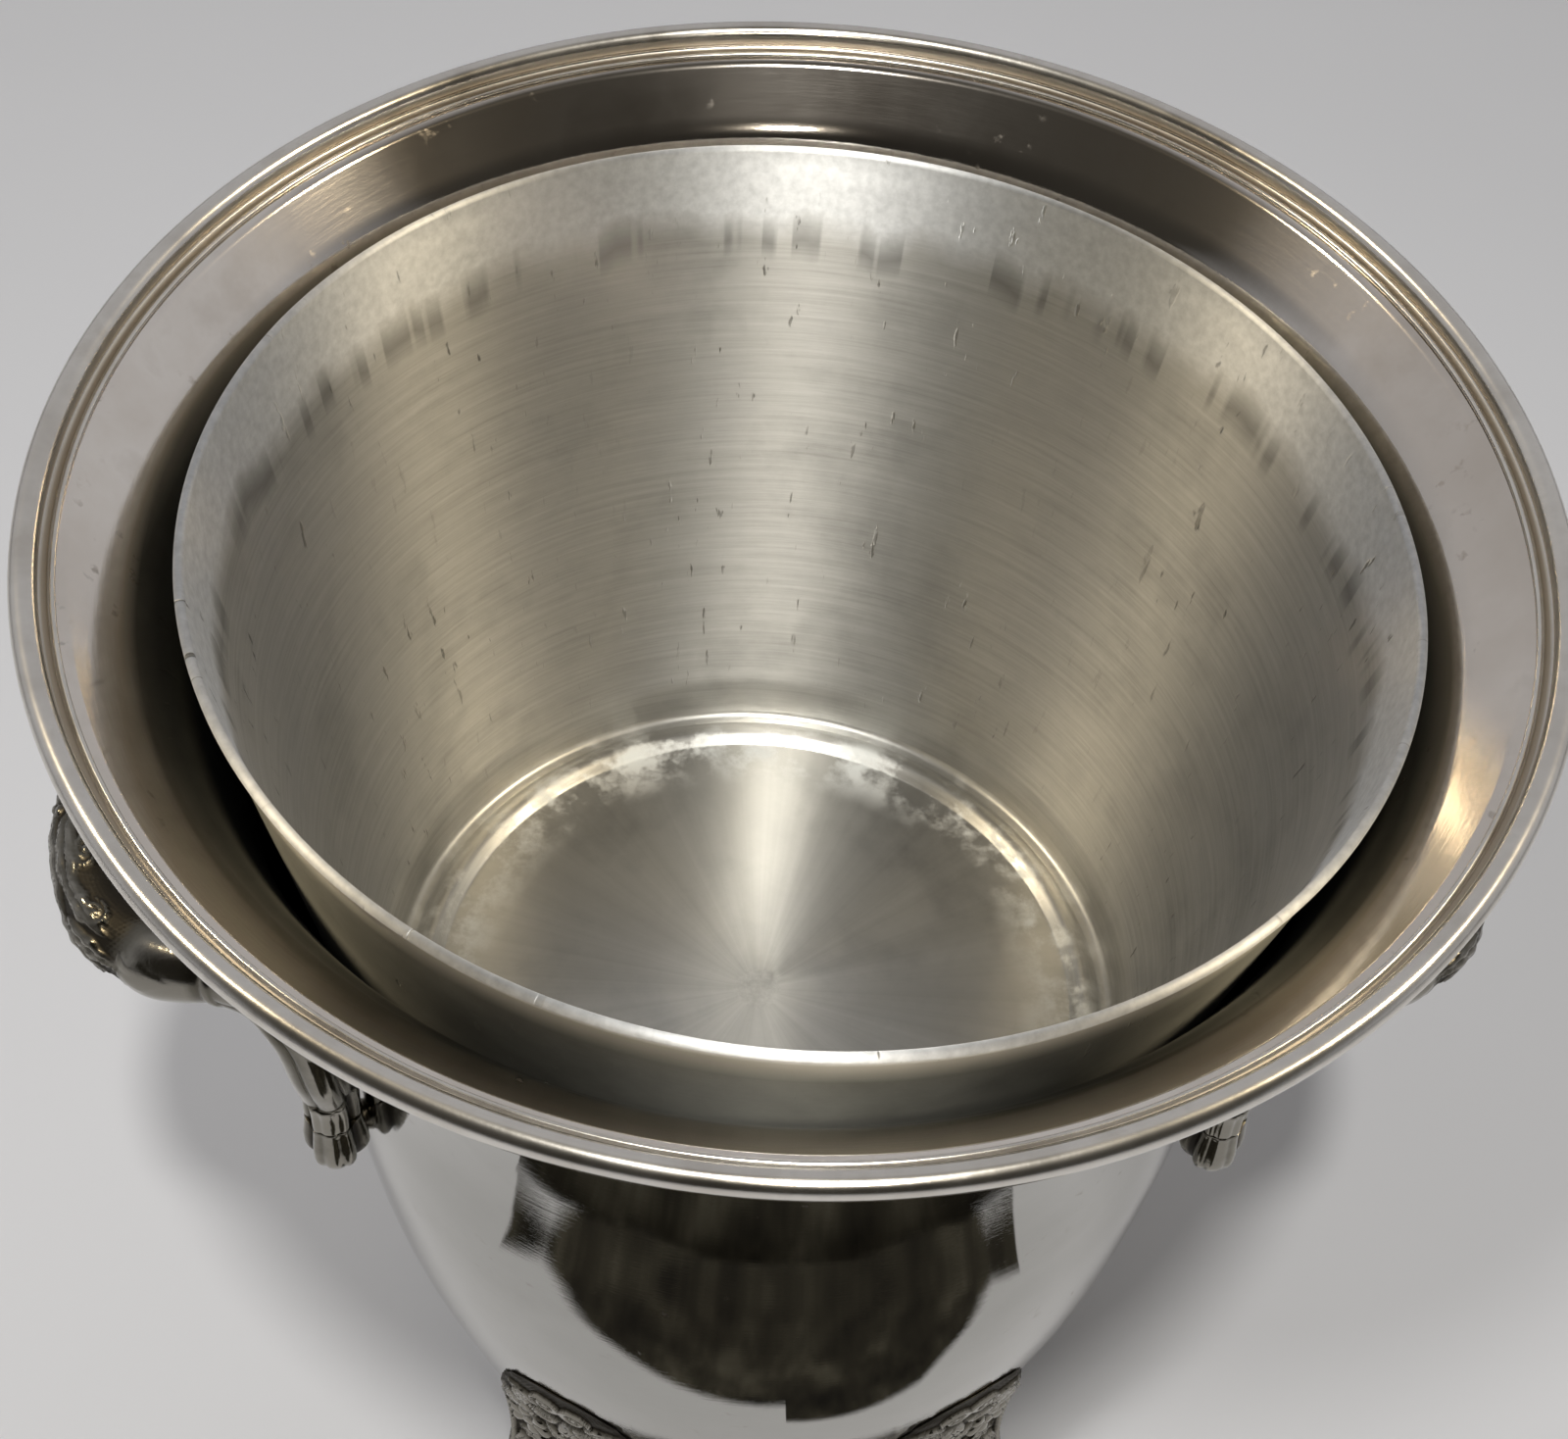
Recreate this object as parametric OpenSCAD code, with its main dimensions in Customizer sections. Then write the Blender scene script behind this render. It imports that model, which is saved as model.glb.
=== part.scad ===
// Silver champagne bucket with a loose liner, two cast loop handles and four cast feet.
// Origin: on the floor, on the bucket's axis. +Z is up, and the handles lie along X.

/* [Rim] */
// Radius of the bucket over the rim bead
rim_r = 130; // [129.5:0.1:130.5]
// Height of the centre of the rim bead above the floor
rim_z = 279.9; // [279.8:0.05:280.2]
// Radius of the rounded section of the rim bead
bead_r = 2.3; // [2.1:0.1:2.4]
// Thickness of the bucket's sheet
wall = 1.4; // [1.2:0.1:1.5]

/* [Liner] */
// Radius of the liner over its lip
liner_r = 106.3; // [104.5:0.1:106.5]
// Depth of the liner from its lip to its underside
liner_depth = 141; // [130:1:150]
// Radius of the liner's wall at its foot
liner_foot_r = 77.4; // [72:0.1:77.8]
// Thickness of the liner's sheet
liner_wall = 1.2; // [1:0.1:1.3]
// Lean of the liner in the bucket's neck, in degrees
liner_lean = 2.4; // [0:0.1:2.6]
// Direction that the liner leans to, in degrees from +X
liner_lean_dir = 46; // [0:1:359]

/* [Handles] */
// Reach of the handle's middle from the bucket's axis
bow_reach = 133; // [131:0.5:135]
// Distance of each bud from the handle's middle plane
bud_y = 50; // [49.5:0.5:50.5]
// Distance of each bud along the handle's middle plane
bud_x = 84.5; // [84.5:0.1:85]
// Radius of the threaded studs in the buds
handle_stud_r = 2.5; // [2:0.1:2.6]

/* [Feet] */
// Angle of each foot from the handle axis, in degrees
foot_angle = 60; // [57:1:63]
// Thickness of the foot's plate below the bucket
foot_plate = 4.4; // [4:0.1:5]
// Angle of each foot stud from the middle of its foot, in degrees
foot_stud_spread = 9; // [7:1:10]
// Radius of the threaded studs in the feet
foot_stud_r = 1.5; // [1.2:0.1:1.6]

/* [Hidden] */

silver = [0.72, 0.70, 0.66];
cast_silver = [0.50, 0.48, 0.44];
zinc = [0.66, 0.66, 0.64];
steel = [0.58, 0.58, 0.60];
round_fn = 180;
small_fn = 48;

// A smooth curve through the points: each stretch is a cubic that keeps the neighbours' direction.
function blend_4(a, b, c, d, t) =
  0.5 * (2 * b + (c - a) * t + (2 * a - 5 * b + 4 * c - d) * t * t
         + (3 * b - 3 * c + d - a) * t * t * t);
function at_or_end(p, i) =
  i < 0 ? 2 * p[0] - p[1]
  : i >= len(p) ? 2 * p[len(p) - 1] - p[len(p) - 2]
  : p[i];
function smooth(p, steps) = concat(
  [for (i = [0 : len(p) - 2], k = [0 : steps - 1])
    blend_4(at_or_end(p, i - 1), p[i], p[i + 1], at_or_end(p, i + 2), k / steps)],
  [p[len(p) - 1]]
);

function unit(v) = v / norm(v);
function reversed(p) = [for (i = [len(p) - 1 : -1 : 0]) p[i]];

// The same outline moved sideways by d, to the left of its own direction.
function moved_left(p, d) = [
  for (i = [0 : len(p) - 1])
    let (dir = unit(p[min(i + 1, len(p) - 1)] - p[max(i - 1, 0)]))
      [max(0, p[i].x - d * dir.y), p[i].y + d * dir.x]
];

// Outside of the bucket, as radius and height, from the middle of the bottom to the flange's fold.
bowl_points = [
  [0, 17], [28, 17.8], [50, 22.2], [65, 30.5], [74.8, 41.5], [79.6, 59], [83.9, 78.5],
  [87.1, 98], [89.4, 118], [91, 137], [91.9, 157], [92.9, 180], [95, 200], [98.2, 220],
  [102.5, 241], [107.5, 256], [113.4, 266.6]
];
bowl_curve = smooth(bowl_points, 4);
flange_end = [122.9, 276.2];
bowl_side = concat(bowl_curve, [[114.6, 267.9], flange_end]);
land_r = 126.4;
land_z = flange_end.y + wall;
function bowl_r(z) = lookup(z, [for (p = bowl_curve) if (p.x > 40) [p.y, p.x]]);

module bucket_solid() {
  rotate_extrude($fn = round_fn) polygon(concat(bowl_curve, [[0, 266.6]]));
}

// Places its children on the bucket's wall, with their +Z pointing out of it.
module on_wall(angle, r, z, drop) {
  rotate([0, 0, angle]) translate([r, 0, z]) rotate([0, 90 + drop, 0]) children();
}

// Handle studs sit level, in the direction of each bud.
bud_z = 156;
bud_r = norm([bud_x, bud_y]);
bud_angle = atan2(bud_y, bud_x);
bud_angles = [180 + bud_angle, 180 - bud_angle, -bud_angle, bud_angle];
bud_wall_r = bowl_r(bud_z);
// Foot studs point down, square to the wall.
foot_stud_z = 52;
foot_stud_drop = 14;
foot_angles = [180 + foot_angle, 180 - foot_angle, -foot_angle, foot_angle];
foot_wall_r = bowl_r(foot_stud_z);
function both_sides(a) = [a - foot_stud_spread, a + foot_stud_spread];
foot_stud_angles = [for (a = foot_angles, b = both_sides(a)) b];

clearance = 0.2;
thread_play = 0.05;

module bucket_body() {
  inside = moved_left(bowl_side, wall);
  color(silver) difference() {
    rotate_extrude($fn = round_fn)
      polygon(concat(
        bowl_side,
        [[land_r, flange_end.y], [land_r, land_z], [flange_end.x - 0.3, land_z]],
        reversed(inside)
      ));
    for (a = bud_angles)
      on_wall(a, bud_wall_r - 4, bud_z, 0)
        cylinder(r = handle_stud_r + clearance, h = 6, $fn = small_fn);
    for (a = foot_stud_angles)
      on_wall(a, foot_wall_r, foot_stud_z, foot_stud_drop)
        translate([0, 0, -4]) cylinder(r = foot_stud_r + clearance, h = 6, $fn = small_fn);
  }
}

// Rounded moulding on the flange's land, with a thin step inside it.
module rim_bead() {
  step_in = 122.9;
  step_h = 0.8;
  color(silver) rotate_extrude($fn = round_fn) union() {
    translate([rim_r - bead_r, rim_z]) circle(r = bead_r, $fn = small_fn);
    translate([step_in, land_z]) square([rim_r - bead_r - step_in, step_h]);
  }
}

// Outside of the liner in its own frame, from the middle of its floor up to its lip. A shallow
// ridge stands up round the floor, and a small arc joins the floor to the wall.
ridge_r = 70;
ridge_half = 3.5;
ridge_h = 1.6;
liner_corner = 3;
lip_r = 0.9;
liner_side = concat(
  [[0, -liner_depth]],
  [for (t = [-1 : 0.2 : 1])
    [ridge_r + t * ridge_half, ridge_h * (1 + cos(180 * t)) / 2 - liner_depth]],
  [for (a = [-90 : 13 : -12])
    [liner_foot_r + liner_corner * (cos(a) - 1), liner_corner * (1 + sin(a)) - liner_depth]],
  [[liner_r - lip_r, -lip_r]]
);
liner_pivot_z = 232;
liner_lip_z = 271.5;

module liner() {
  inside = moved_left(liner_side, liner_wall);
  color(zinc)
    translate([0, 0, liner_pivot_z])
      rotate(a = liner_lean, v = [-sin(liner_lean_dir), cos(liner_lean_dir), 0])
        translate([0, 0, liner_lip_z - liner_pivot_z])
          rotate_extrude($fn = round_fn) union() {
            polygon(concat(liner_side, reversed(inside)));
            translate([liner_r - lip_r, -lip_r]) circle(r = lip_r, $fn = small_fn);
          }
}

// Half of the bow's middle line, from its middle to the end of its arm: x, y, z and radius.
bow_half = [
  [bow_reach, 0, 187, 7.5], [bow_reach - 2, 11, 188, 8], [125, 25, 189.5, 8.5],
  [115, 34.5, 192, 8.2], [103.5, 40.5, 196, 6.6], [94, 46, 198.5, 6], [87.5, 51, 194, 6],
  [85.3, 52, 182, 5.7], [bud_x, bud_y, 170.5, 5.5], [bud_x, bud_y, 162.5, 5.4]
];
bow_centre = [100, 0, 178];
bow_sides = 20;
bow_steps = 4;

function across_y(p) = [p[0], -p[1], p[2], p[3]];
function xyz(p) = [p[0], p[1], p[2]];
bow_line = smooth(
  concat([for (p = reversed(bow_half)) across_y(p)],
         [for (i = [1 : len(bow_half) - 1]) bow_half[i]]),
  bow_steps
);

// One ring of the bow, square to its line, with the end rings level. Its sides are counted from
// the side away from the loop.
function bow_ring(i) = let (
  last = len(bow_line) - 1,
  here = xyz(bow_line[i]),
  along = i == 0 ? [0, 0, 1] : i == last ? [0, 0, -1]
    : unit(xyz(bow_line[i + 1]) - xyz(bow_line[i - 1])),
  away = here - bow_centre,
  out = unit(away - (away * along) * along),
  side = cross(along, out)
) [for (k = [0 : bow_sides - 1])
    here + bow_line[i][3] * (cos(360 * k / bow_sides) * out + sin(360 * k / bow_sides) * side)];

module bow() {
  rings = len(bow_line);
  polyhedron(
    points = [for (i = [0 : rings - 1], p = bow_ring(i)) p],
    faces = concat(
      [[for (k = [0 : bow_sides - 1]) k]],
      [for (i = [0 : rings - 2], k = [0 : bow_sides - 1])
        let (n = (k + 1) % bow_sides, a = i * bow_sides)
          [a + k, a + bow_sides + k, a + bow_sides + n]],
      [for (i = [0 : rings - 2], k = [0 : bow_sides - 1])
        let (n = (k + 1) % bow_sides, a = i * bow_sides)
          [a + k, a + bow_sides + n, a + n]],
      [[for (k = [bow_sides - 1 : -1 : 0]) (rings - 1) * bow_sides + k]]
    )
  );
}

module handle(side) {
  color(cast_silver) if (side > 0) bow(); else mirror([1, 0, 0]) bow();
}

// Bud at the end of an arm: collar, waist, swelling and tip, with a pad against the bucket.
module bud(angle) {
  top = bow_half[len(bow_half) - 1].z;
  color(cast_silver) difference() {
    union() {
      rotate([0, 0, angle]) translate([bud_r, 0, 0]) rotate_extrude($fn = small_fn)
        polygon(concat(
          [[0, top], [5.6, top], [6.3, top - 0.9], [6.3, top - 1.7], [5.3, top - 2.6]],
          smooth([[5.3, 158.9], [6.1, 155.5], [5.8, 152], [4, 148.6], [1.6, 146.9], [0, 146.5]], 4)
        ));
      on_wall(angle, bud_wall_r - 1.5, bud_z, 0)
        cylinder(r = 4.3, h = bud_r - bud_wall_r + 1.5, $fn = small_fn);
    }
    bucket_solid();
    on_wall(angle, bud_wall_r - 2, bud_z, 0)
      cylinder(r = handle_stud_r + thread_play, h = 7, $fn = small_fn);
  }
}

washer_h = 1;
// Thin nuts, because the liner passes close inside them.
handle_nut_h = 2.7;
foot_washer_h = 0.8;
foot_nut_h = 2.4;
// A flat washer stands this far off the curved wall at its middle.
seat_gap = 0.25;

module handle_studs() {
  inner_end = bud_wall_r - wall - seat_gap - washer_h - handle_nut_h - 0.5;
  color(steel) for (a = bud_angles)
    on_wall(a, inner_end, bud_z, 0)
      cylinder(r = handle_stud_r, h = bud_wall_r + 4.6 - inner_end, $fn = small_fn);
}

module handle_washers() {
  color(steel) for (a = bud_angles)
    on_wall(a, bud_wall_r - wall - seat_gap - washer_h, bud_z, 0) difference() {
      cylinder(r = 5.5, h = washer_h, $fn = small_fn);
      translate([0, 0, -1]) cylinder(r = handle_stud_r + clearance, h = washer_h + 2, $fn = small_fn);
    }
}

module handle_nuts() {
  color(steel) for (a = bud_angles)
    on_wall(a, bud_wall_r - wall - seat_gap - washer_h - handle_nut_h, bud_z, 0) difference() {
      cylinder(r = 4.6, h = handle_nut_h, $fn = 6);
      translate([0, 0, -1]) cylinder(r = handle_stud_r + thread_play, h = handle_nut_h + 2, $fn = small_fn);
    }
}

// Rows of a foot from its top edge down: height, outer radius, inner radius and half width.
// An inner radius of 0 means that the row lies on the bucket's wall.
foot_points = [
  [90, 86.9, 0, 4], [88, 86.9, 0, 9], [84, 86.7, 0, 13.5], [77, 85.8, 0, 16.8],
  [69, 84.4, 0, 18.8], [60, 82.5, 0, 20], [55.5, 81.8, 0, 20.2], [51, 81.3, 0, 20.2],
  [43.5, 80.9, 80.9 - foot_plate, 20.1], [36, 81.2, 81.2 - foot_plate, 19.8],
  [29, 82.3, 82.3 - foot_plate, 20.2], [20, 84.6, 84.6 - foot_plate, 22.5],
  [11.5, 87.9, 87.9 - foot_plate, 25.5], [5, 90.6, 90.6 - foot_plate - 0.6, 28],
  [1.2, 91.8, 91.8 - foot_plate - 1.6, 29.5], [0, 91.4, 91.4 - foot_plate - 2, 29.5]
];
foot_cols = 16;
foot_rows = [
  for (i = [0 : len(foot_points) - 1])
    let (p = foot_points[i], on_bucket = bowl_r(p[0]) + 2 * thread_play)
      [p[0], p[1], p[2] == 0 ? on_bucket : p[2], p[3]]
];

function foot_point(row, r, j) =
  let (a = (2 * j / foot_cols - 1) * row[3] / row[1] * 180 / PI)
    [r * cos(a), r * sin(a), row[0]];

module foot_plate_solid() {
  n = len(foot_rows);
  w = foot_cols + 1;
  inner = n * w;
  polyhedron(
    points = concat(
      [for (i = [0 : n - 1], j = [0 : foot_cols]) foot_point(foot_rows[i], foot_rows[i][1], j)],
      [for (i = [0 : n - 1], j = [0 : foot_cols]) foot_point(foot_rows[i], foot_rows[i][2], j)]
    ),
    faces = concat(
      [for (i = [0 : n - 2], j = [0 : foot_cols - 1], f = [
        [i * w + j, i * w + j + 1, (i + 1) * w + j + 1],
        [i * w + j, (i + 1) * w + j + 1, (i + 1) * w + j]
      ]) f],
      [for (i = [0 : n - 2], j = [0 : foot_cols - 1], f = [
        [inner + i * w + j, inner + (i + 1) * w + j + 1, inner + i * w + j + 1],
        [inner + i * w + j, inner + (i + 1) * w + j, inner + (i + 1) * w + j + 1]
      ]) f],
      [for (i = [0 : n - 2], f = [
        [i * w, (i + 1) * w, inner + (i + 1) * w],
        [i * w, inner + (i + 1) * w, inner + i * w],
        [i * w + foot_cols, inner + (i + 1) * w + foot_cols, (i + 1) * w + foot_cols],
        [i * w + foot_cols, inner + i * w + foot_cols, inner + (i + 1) * w + foot_cols]
      ]) f],
      [for (j = [0 : foot_cols - 1], f = [
        [j, inner + j + 1, j + 1],
        [j, inner + j, inner + j + 1],
        [(n - 1) * w + j, (n - 1) * w + j + 1, inner + (n - 1) * w + j + 1],
        [(n - 1) * w + j, inner + (n - 1) * w + j + 1, inner + (n - 1) * w + j]
      ]) f]
    )
  );
}

module foot(angle) {
  color(cast_silver) difference() {
    rotate([0, 0, angle]) foot_plate_solid();
    for (a = both_sides(angle))
      on_wall(a, foot_wall_r, foot_stud_z, foot_stud_drop)
        translate([0, 0, -2]) cylinder(r = foot_stud_r + thread_play, h = 4.6, $fn = small_fn);
  }
}

module foot_studs() {
  inner_end = -(wall + seat_gap + foot_washer_h + foot_nut_h + 0.8);
  color(steel) for (a = foot_stud_angles)
    on_wall(a, foot_wall_r, foot_stud_z, foot_stud_drop)
      translate([0, 0, inner_end]) cylinder(r = foot_stud_r, h = 2.4 - inner_end, $fn = small_fn);
}

module foot_washers() {
  color(steel) for (a = foot_stud_angles)
    on_wall(a, foot_wall_r, foot_stud_z, foot_stud_drop)
      translate([0, 0, -(wall + seat_gap + foot_washer_h)]) difference() {
        cylinder(r = 3.4, h = foot_washer_h, $fn = small_fn);
        translate([0, 0, -1])
          cylinder(r = foot_stud_r + clearance, h = foot_washer_h + 2, $fn = small_fn);
      }
}

module foot_nuts() {
  color(steel) for (a = foot_stud_angles)
    on_wall(a, foot_wall_r, foot_stud_z, foot_stud_drop)
      translate([0, 0, -(wall + seat_gap + foot_washer_h + foot_nut_h)]) difference() {
        cylinder(r = 3.1, h = foot_nut_h, $fn = 6);
        translate([0, 0, -1])
          cylinder(r = foot_stud_r + thread_play, h = foot_nut_h + 2, $fn = small_fn);
      }
}

bucket_body();
rim_bead();
liner();
handle(-1);  // handle_left
handle(1);  // handle_right
bud(bud_angles[0]);  // handle_bud_lf
bud(bud_angles[1]);  // handle_bud_lb
bud(bud_angles[2]);  // handle_bud_rf
bud(bud_angles[3]);  // handle_bud_rb
handle_studs();
handle_washers();
handle_nuts();
foot(foot_angles[0]);  // foot_lf
foot(foot_angles[1]);  // foot_lb
foot(foot_angles[2]);  // foot_rf
foot(foot_angles[3]);  // foot_rb
foot_studs();
foot_washers();
foot_nuts();
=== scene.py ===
# %% [markdown]
# # A silver champagne bucket with a loose liner
#
# The bucket is a spun, silver-plated shell on four cast feet, with two cast loop handles and a
# plain metal liner that drops into its neck. This lesson dresses the measured frame of that
# bucket: the frame gives every size, and each cell here works out one surface or one finish.
#
# Nearly every part was turned or cast on the real bucket, so nearly every part here is one of two
# things: a profile carried round an axis, or a grid with a carved height on it.

# %% Load the measured frame
import math

import bmesh
import bpy
import numpy as np
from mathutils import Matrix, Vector


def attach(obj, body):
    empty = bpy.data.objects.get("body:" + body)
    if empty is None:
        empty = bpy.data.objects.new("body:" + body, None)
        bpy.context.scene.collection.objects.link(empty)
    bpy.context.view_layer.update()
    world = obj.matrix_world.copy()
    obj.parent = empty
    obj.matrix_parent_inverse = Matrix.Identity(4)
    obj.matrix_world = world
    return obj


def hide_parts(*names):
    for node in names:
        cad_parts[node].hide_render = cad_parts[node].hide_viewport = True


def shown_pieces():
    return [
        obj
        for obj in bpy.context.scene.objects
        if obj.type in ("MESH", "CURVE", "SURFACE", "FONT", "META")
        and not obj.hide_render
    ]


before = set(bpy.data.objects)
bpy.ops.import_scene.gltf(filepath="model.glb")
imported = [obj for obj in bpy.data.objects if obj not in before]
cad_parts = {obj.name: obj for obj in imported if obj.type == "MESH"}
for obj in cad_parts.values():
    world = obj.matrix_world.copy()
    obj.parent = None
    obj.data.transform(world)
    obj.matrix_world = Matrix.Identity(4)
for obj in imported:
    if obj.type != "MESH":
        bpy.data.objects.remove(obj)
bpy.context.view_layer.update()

# %% [markdown]
# ## Smooth outlines and grids
#
# A silversmith's outline is a fair curve through a few measured points. The curve here is a cubic
# through every point that keeps its neighbours' direction, so a few numbers give the whole profile.
# Surfaces are then rows and columns of points, and a face joins each four that touch.

# %% Curves through points, and the faces of a grid
def fair_curve(points, steps):
    """Each stretch is a cubic from one point to the next whose slope at an end is half the step
    between that end's neighbours. The ends are extended by repeating their last step."""
    p = np.asarray(points, float)
    p = np.vstack([2 * p[0] - p[1], p, 2 * p[-1] - p[-2]])
    a, b, c, d = p[:-3, None], p[1:-2, None], p[2:-1, None], p[3:, None]
    t = (np.arange(steps) / steps)[None, :, None]
    part = 0.5 * (2 * b + (c - a) * t + (2 * a - 5 * b + 4 * c - d) * t**2
                  + (3 * b - 3 * c + d - a) * t**3)
    return np.vstack([part.reshape(-1, p.shape[1]), p[-2]])


def moved_left(outline, distance):
    """The outline shifted square to its own direction, to the left of it."""
    step = np.gradient(outline, axis=0)
    step /= np.linalg.norm(step, axis=1)[:, None]
    moved = outline + distance * np.column_stack([-step[:, 1], step[:, 0]])
    moved[:, 0] = np.maximum(moved[:, 0], 0)
    return moved


def grid_faces(rows, cols, wrap=False):
    """Four corners for each cell of a grid of points, counted row by row."""
    last = cols if wrap else cols - 1
    i, j = np.meshgrid(np.arange(rows - 1), np.arange(last), indexing="ij")
    k = (j + 1) % cols
    return np.stack([i * cols + j, i * cols + k, (i + 1) * cols + k, (i + 1) * cols + j], -1).reshape(-1, 4)


print("a fair curve through 3 points has", len(fair_curve([[0, 0], [1, 0], [1, 1]], 4)), "points")

# %% Put points and faces into a finished piece
def make_piece(name, points_mm, face_sets, body, stands_for, numbers=None):
    """A mesh from points in millimetres. `numbers` are named values or vectors, one for each point,
    that the finishes read. Every face is turned to look outward."""
    mesh = bpy.data.meshes.new(name)
    faces = [f for s in face_sets for f in np.asarray(s).tolist()]
    mesh.from_pydata((np.asarray(points_mm) / 1000).tolist(), [], faces)
    work = bmesh.new()
    work.from_mesh(mesh)
    bmesh.ops.recalc_face_normals(work, faces=work.faces)
    open_edges = sum(1 for e in work.edges if len(e.link_faces) != 2)
    work.to_mesh(mesh)
    work.free()
    mesh.shade_smooth()
    for label, values in (numbers or {}).items():
        values = np.asarray(values, np.float32)
        kind = "FLOAT_VECTOR" if values.ndim == 2 else "FLOAT"
        field = mesh.attributes.new(label, kind, "POINT")
        field.data.foreach_set("vector" if values.ndim == 2 else "value", values.ravel())
    piece = bpy.data.objects.new(name, mesh)
    bpy.context.scene.collection.objects.link(piece)
    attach(piece, body)
    if stands_for:
        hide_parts(*stands_for)
    print(f"{name}: {len(mesh.vertices)} points, {len(mesh.polygons)} faces, {open_edges} open edges")
    return piece


def turned(profile, sides):
    """A profile of radius and height carried round the Z axis. A closed outline is joined end to
    end; an outline that begins and ends on the axis gets one point at each pole."""
    angle = np.arange(sides) * 2 * np.pi / sides
    poles = profile[0, 0] < 1e-6
    rows = profile[1:-1] if poles else np.vstack([profile, profile[:1]])[:-1]
    ring = np.stack([np.cos(angle), np.sin(angle)], -1)
    heights = np.broadcast_to(rows[:, None, 1:], (len(rows), sides, 1))
    points = np.concatenate([rows[:, None, :1] * ring[None], heights], -1).reshape(-1, 3)
    quads = grid_faces(len(rows), sides, wrap=True)
    j = np.arange(sides)
    k = (j + 1) % sides
    if not poles:
        last = (len(rows) - 1) * sides
        return points, [quads, np.stack([last + j, last + k, k, j], -1)]
    first, end, last = len(points), len(points) + 1, (len(rows) - 1) * sides
    points = np.vstack([points, [[0, 0, profile[0, 1]], [0, 0, profile[-1, 1]]]])
    caps = [np.stack([0 * j + first, k, j], -1), np.stack([last + j, last + k, 0 * j + end], -1)]
    return points, [quads, *caps]


# %% [markdown]
# ## The spun shell
#
# The shell is one sheet spun over a form: a round bottom, a slim waist, a neck that opens out and a
# broad sloping flange. A spun sheet has the same thickness everywhere, so its inside is its outside
# moved square to itself by the sheet's thickness. Turning the whole section once gives both faces,
# the rolled-over edge and a closed solid.

# %% The shell's section, in millimetres
WALL = 1.4
BOWL = [[0, 17], [28, 17.8], [50, 22.2], [65, 30.5], [74.8, 41.5], [79.6, 59], [83.9, 78.5],
        [87.1, 98], [89.4, 118], [91, 137], [91.9, 157], [92.9, 180], [95, 200], [98.2, 220],
        [102.5, 241], [107.5, 256], [113.4, 266.6]]
bowl_line = fair_curve(BOWL, 10)
flange = np.linspace([114.6, 267.9], [122.9, 276.2], 12)
outside = np.vstack([bowl_line, flange])
inside = moved_left(outside, WALL)
edge = [[126.2, 276.2], [126.4, 276.4], [126.4, 277.4], [126.2, 277.6]]
shell_section = np.vstack([outside, edge, inside[::-1]])
shell_section[-1, 0] = 0
points, faces = turned(shell_section, 320)
shell = make_piece("spun_shell", points, faces, "bucket", ["bucket_body"])


def bowl_radius(height):
    """The shell's outer radius at a height, read off the outline."""
    use = bowl_line[:, 0] > 40
    return np.interp(height, bowl_line[use, 1], bowl_line[use, 0])


# %% [markdown]
# ## The rim moulding
#
# The rim is stiffened by a separate moulding soldered on the flange's edge: a round bead, a narrow
# groove and a thin raised line. The groove gathers polish and tarnish and reads as a dark line, so
# it is modelled as a real groove and not as a painted one.

# %% Bead, groove and fine line in one section
BEAD_R, BEAD_AT = 2.3, np.array([127.7, 279.9])
turn = np.radians(np.linspace(222, -88, 44))
bead = BEAD_AT + BEAD_R * np.column_stack([np.cos(turn), np.sin(turn)])
fine_line = [[122.95, 277.6], [122.95, 278.05], [123.1, 278.3], [123.45, 278.42], [123.8, 278.3],
             [124.05, 277.98], [124.5, 277.78], [125.1, 277.78], [125.55, 277.95]]
foot_of_bead = [[127.2, 277.6], [125.5, 277.6]]
rim_section = np.vstack([fine_line, bead, foot_of_bead])[::-1]
points, faces = turned(rim_section, 360)
rim = make_piece("rim_moulding", points, faces, "bucket", ["rim_bead"])

# %% [markdown]
# ## The liner
#
# The liner is a plain tapered pail, spun from soft grey metal, that holds the ice and lifts out. It
# rests in the neck and leans a little. It is worked out upright in its own axes, where every
# spinning mark runs level, and only then tipped into place, and each point keeps its own upright
# place as a number on the mesh so that the finish tips with it.

# %% Liner section and lean
LEAN, LEAN_TO, PIVOT_Z, LIP_Z = math.radians(2.4), math.radians(46), 232.0, 271.5
DEPTH, LINER_R, LINER_FOOT_R, LINER_WALL, LIP_R = 141.0, 106.3, 77.4, 1.2, 0.9
t = np.linspace(-1, 1, 17)
ridge = np.column_stack([70 + 3.5 * t, 0.8 * (1 + np.cos(np.pi * t)) - DEPTH])
a = np.radians(np.linspace(-86, -14, 8))
corner = np.column_stack([LINER_FOOT_R + 3 * (np.cos(a) - 1), 3 * (1 + np.sin(a)) - DEPTH])
floor_line = np.linspace([0, -DEPTH], [66, -DEPTH], 14)
side_line = np.linspace(corner[-1], [LINER_R - LIP_R, -LIP_R], 40)[1:]
liner_out = np.vstack([floor_line, ridge, corner, side_line[:-1]])
liner_in = moved_left(liner_out, LINER_WALL)
a = np.radians(np.linspace(-30, 195, 15))
lip = np.array([LINER_R - LIP_R, -LIP_R]) + LIP_R * np.column_stack([np.cos(a), np.sin(a)])
liner_section = np.vstack([liner_out, lip, liner_in[::-1]])
liner_section[-1, 0] = 0


def tip_into_neck(upright):
    """Turns points about the lean's own level axis through the pivot, by Rodrigues' formula: the
    point, plus sine times the cross product with the axis, plus one less cosine times the double one."""
    axis = np.array([-math.sin(LEAN_TO), math.cos(LEAN_TO), 0])
    p = upright + [0, 0, LIP_Z - PIVOT_Z]
    once = np.cross(axis, p)
    return p + math.sin(LEAN) * once + (1 - math.cos(LEAN)) * np.cross(axis, once) + [0, 0, PIVOT_Z]


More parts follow.
